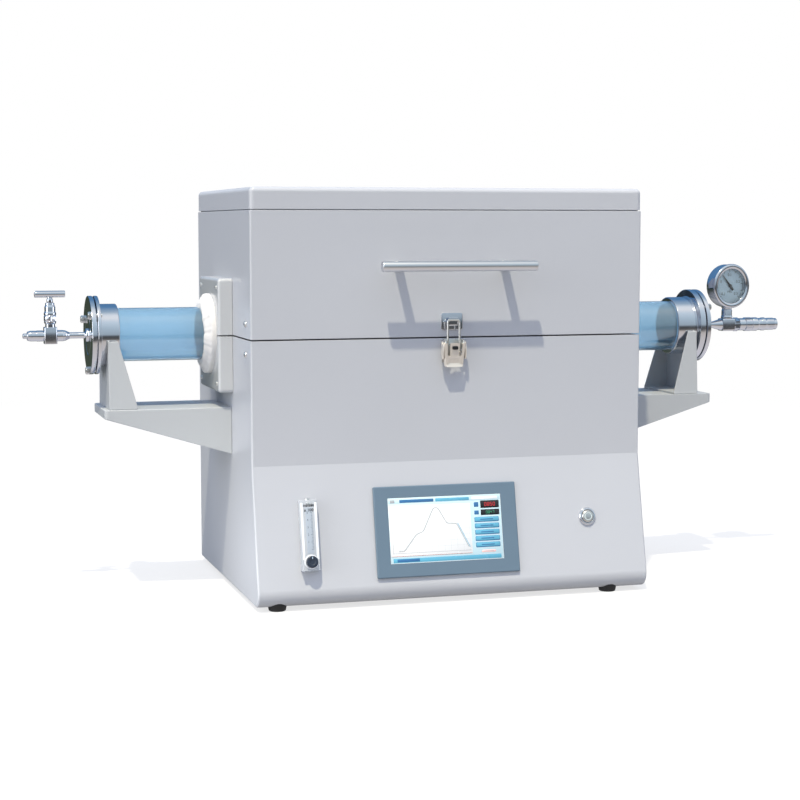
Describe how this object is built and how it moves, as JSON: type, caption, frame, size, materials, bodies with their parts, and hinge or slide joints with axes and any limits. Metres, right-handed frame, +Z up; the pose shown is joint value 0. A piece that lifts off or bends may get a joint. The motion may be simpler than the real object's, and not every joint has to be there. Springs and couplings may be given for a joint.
{
  "type": "tube furnace",
  "caption": "Split-lid laboratory tube furnace: a work tube on pedestals, end flanges, needle valve, pressure gauge, touch panel and flowmeter.",
  "frame": {"origin": "on the bench, at the middle of the whole object's footprint", "axes": "+X along the work tube to the operator's right, +Y to the rear, +Z up"},
  "size_m": [1.243, 0.4786, 0.605],
  "materials": {
    "case_paint": "light grey powder coat",
    "panel_steel": "bare folded sheet",
    "port_paint": "light grey powder coat",
    "arm_paint": "light grey powder coat",
    "foot_rubber": "black rubber",
    "fibre": "vacuum-formed ceramic fibre, matt",
    "element_strip": "oxidised resistance strip",
    "work_tube": "fused quartz",
    "polished_steel": "polished stainless",
    "bright_steel": "bright zinc or stainless",
    "seal_rubber": "silicone",
    "dial_white": "printed enamel",
    "needle_black": "black enamel",
    "clear_glass": "flat glass",
    "bezel_plastic": "moulded blue-grey",
    "screen": "glossy display",
    "clear_acrylic": "polished acrylic",
    "flow_red": "gloss",
    "knob_plastic": "gloss",
    "brass_fittings": "turned",
    "button_plastic": "gloss",
    "handle_metal": "satin anodised",
    "black_plastic": "moulded",
    "device_metal": "mill finish"
  },
  "bodies": {
    "furnace": {"base_shell": "case_paint", "rear_panel": "case_paint", "floor_pan": "case_paint", "feet": "foot_rubber", "chamber_pan": "panel_steel", "lower_insulation": "fibre", "lower_heater": "element_strip", "lower_port_covers": "port_paint", "port_rings": "fibre", "work_tube": "work_tube", "thermocouple": "bright_steel", "inner_flanges": "polished_steel", "seal_rings": "seal_rubber", "left_end_plate": "polished_steel", "right_end_plate": "polished_steel", "flange_bolts": "bright_steel", "left_arm": "arm_paint", "right_arm": "arm_paint", "left_pedestal": "arm_paint", "right_pedestal": "arm_paint", "valve_body": "polished_steel", "valve_bonnet": "polished_steel", "gas_stub": "polished_steel", "gauge_tee": "polished_steel", "outlet_connector": "polished_steel", "gauge_case": "polished_steel", "gauge_dial": "dial_white", "gauge_glass": "clear_glass", "gauge_bezel": "polished_steel", "touch_bezel": "bezel_plastic", "touch_screen": "screen", "flow_block": "clear_acrylic", "flow_ports": "brass_fittings", "button_ring": "bright_steel", "base_hinges": "bright_steel", "hinge_pins": "bright_steel", "latch_base": "bright_steel", "fan_frame": "black_plastic", "cable_gland": "black_plastic", "relay_unit": "device_metal", "power_supply": "device_metal", "terminal_block": "black_plastic"},
    "lid": {"lid_shell": "case_paint", "lid_cap": "case_paint", "lid_pan": "panel_steel", "upper_insulation": "fibre", "upper_heater": "element_strip", "upper_port_covers": "port_paint", "lid_hinges": "bright_steel", "latch_keeper": "bright_steel", "handle_bar": "handle_metal", "handle_legs": "handle_metal"},
    "valve_handle": {"valve_handle": "polished_steel"},
    "flow_knob": {"flow_knob": "knob_plastic"},
    "flow_float": {"flow_float": "flow_red"},
    "button_cap": {"button_cap": "button_plastic"},
    "latch_lever": {"latch_lever": "bright_steel"},
    "latch_bail": {"latch_bail": "bright_steel"},
    "gauge_needle": {"gauge_needle": "needle_black"},
    "fan_rotor": {"fan_rotor": "black_plastic"}
  },
  "joints": [
    {"name": "lid_hinge", "type": "hinge", "parent": "furnace", "child": "lid", "pos_m": [-0.0205, 0.22932, 0.387], "axis": [-1, 0, 0], "range_deg": [0, 75]},
    {"name": "latch_lever_hinge", "type": "hinge", "parent": "furnace", "child": "latch_lever", "pos_m": [-0.0205, -0.19768, 0.378], "axis": [-1, 0, 0], "range_deg": [0, 100]},
    {"name": "latch_bail_hinge", "type": "hinge", "parent": "latch_lever", "child": "latch_bail", "pos_m": [-0.0205, -0.19768, 0.366], "axis": [-1, 0, 0], "range_deg": [-100, 0]},
    {"name": "valve_turn", "type": "hinge", "parent": "furnace", "child": "valve_handle", "pos_m": [-0.581, 0.01732, 0.449], "axis": [0, 0, 1], "range_deg": [0, 1440]},
    {"name": "flow_knob_turn", "type": "hinge", "parent": "furnace", "child": "flow_knob", "pos_m": [-0.2435, -0.21624, 0.06946], "axis": [0, -0.9774, 0.2116], "range_deg": [0, 1440]},
    {"name": "flow_float_slide", "type": "slide", "parent": "furnace", "child": "flow_float", "axis": [0, 0.2116, 0.9774], "range_m": [0, 0.048]},
    {"name": "button_push", "type": "slide", "parent": "furnace", "child": "button_cap", "axis": [0, 0.9774, -0.2116], "range_m": [0, 0.003], "stiffness_N_per_m": 400, "springref_m": -0.001},
    {"name": "gauge_needle_turn", "type": "hinge", "parent": "furnace", "child": "gauge_needle", "pos_m": [0.5265, 0.01732, 0.451], "axis": [0.1908, -0.9816, 0], "range_deg": [-175, 95], "stiffness_Nm_per_rad": 0.01},
    {"name": "fan_spin", "type": "hinge", "parent": "furnace", "child": "fan_rotor", "pos_m": [0.1495, 0.19482, 0.12], "axis": [0, 1, 0], "continuous": true}
  ],
  "couplings": [
    {"joint": "latch_bail_hinge", "follows": "latch_lever_hinge", "ratio": -1}
  ]
}
